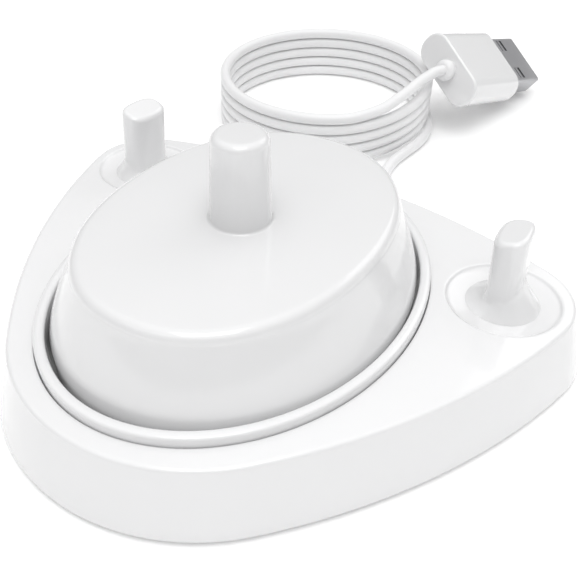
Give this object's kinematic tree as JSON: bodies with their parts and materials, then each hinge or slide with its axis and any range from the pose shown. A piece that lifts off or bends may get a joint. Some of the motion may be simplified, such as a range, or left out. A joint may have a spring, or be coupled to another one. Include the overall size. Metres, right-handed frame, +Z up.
{
  "type": "electric toothbrush charger with brush-head tray",
  "caption": "White inductive charger with a charging pin, seated in a rounded triangular tray with brush-head pegs, with its coiled USB cable and plug",
  "frame": {"origin": "on the table under the middle of the tray's bounding box", "axes": "+X is the right-hand side of the tray, -Y is its pointed front, +Y is the rear where the cord leaves, +Z is up along the charging pin"},
  "size_m": [0.0938, 0.1485, 0.0344],
  "materials": {
    "white_gloss": "smooth glossy white moulded plastic",
    "white_cord": "semi-gloss white flexible cable sheath",
    "grey_rubber": "soft matte non-slip rubber",
    "steel": "plain satin steel",
    "ferrite": "dark sintered ferrite",
    "copper": "enamelled copper wire",
    "bobbin_plastic": "black moulded nylon",
    "board_green": "green solder mask on glass-fibre board",
    "component_black": "black epoxy body",
    "film_yellow": "yellow dipped film capacitor",
    "wire_red": "red wire insulation",
    "wire_black": "black wire insulation",
    "contact_gold": "gold-plated contact"
  },
  "bodies": {
    "charger": {"charger_cover": "white_gloss", "base_plate": "white_gloss", "base_gasket": "grey_rubber", "cover_screw_1": "steel", "cover_screw_2": "steel", "cover_screw_3": "steel", "cover_screw_4": "steel", "charger_foot_front_left": "grey_rubber", "charger_foot_rear_left": "grey_rubber", "charger_foot_front_right": "grey_rubber", "charger_foot_rear_right": "grey_rubber", "ferrite_core": "ferrite", "coil_bobbin": "bobbin_plastic", "primary_coil": "copper", "coil_lead_start": "copper", "coil_lead_finish": "copper", "circuit_board": "board_green", "film_capacitor": "film_yellow", "electrolytic_capacitor": "steel", "driver_chip": "component_black", "power_transistor": "component_black", "rectifier_diode": "component_black", "sense_resistor": "component_black", "cord_gland": "white_cord", "inner_cord": "white_cord", "wire_red": "wire_red", "wire_black": "wire_black", "cord_clamp": "white_gloss", "clamp_screw_left": "steel", "clamp_screw_right": "steel", "cord_lead": "white_cord", "cord_coil": "white_cord", "cord_tail": "white_cord", "plug_relief": "white_cord", "plug_overmould": "white_gloss", "plug_shell": "steel", "plug_tongue": "bobbin_plastic", "plug_contact_1": "contact_gold", "plug_contact_2": "contact_gold", "plug_contact_3": "contact_gold", "plug_contact_4": "contact_gold"},
    "tray": {"tray_shell": "white_gloss", "well_collar": "white_gloss", "peg_left": "white_gloss", "peg_right": "white_gloss", "collar_screw_1": "steel", "collar_screw_2": "steel", "collar_screw_3": "steel", "collar_screw_4": "steel", "tray_foot_rear_left": "grey_rubber", "tray_foot_rear_right": "grey_rubber", "tray_foot_front": "grey_rubber"}
  },
  "joints": [
    {"name": "tray_lift", "type": "slide", "parent": "charger", "child": "tray", "axis": [0, 0, 1], "range_m": [0, 0.045]}
  ]
}
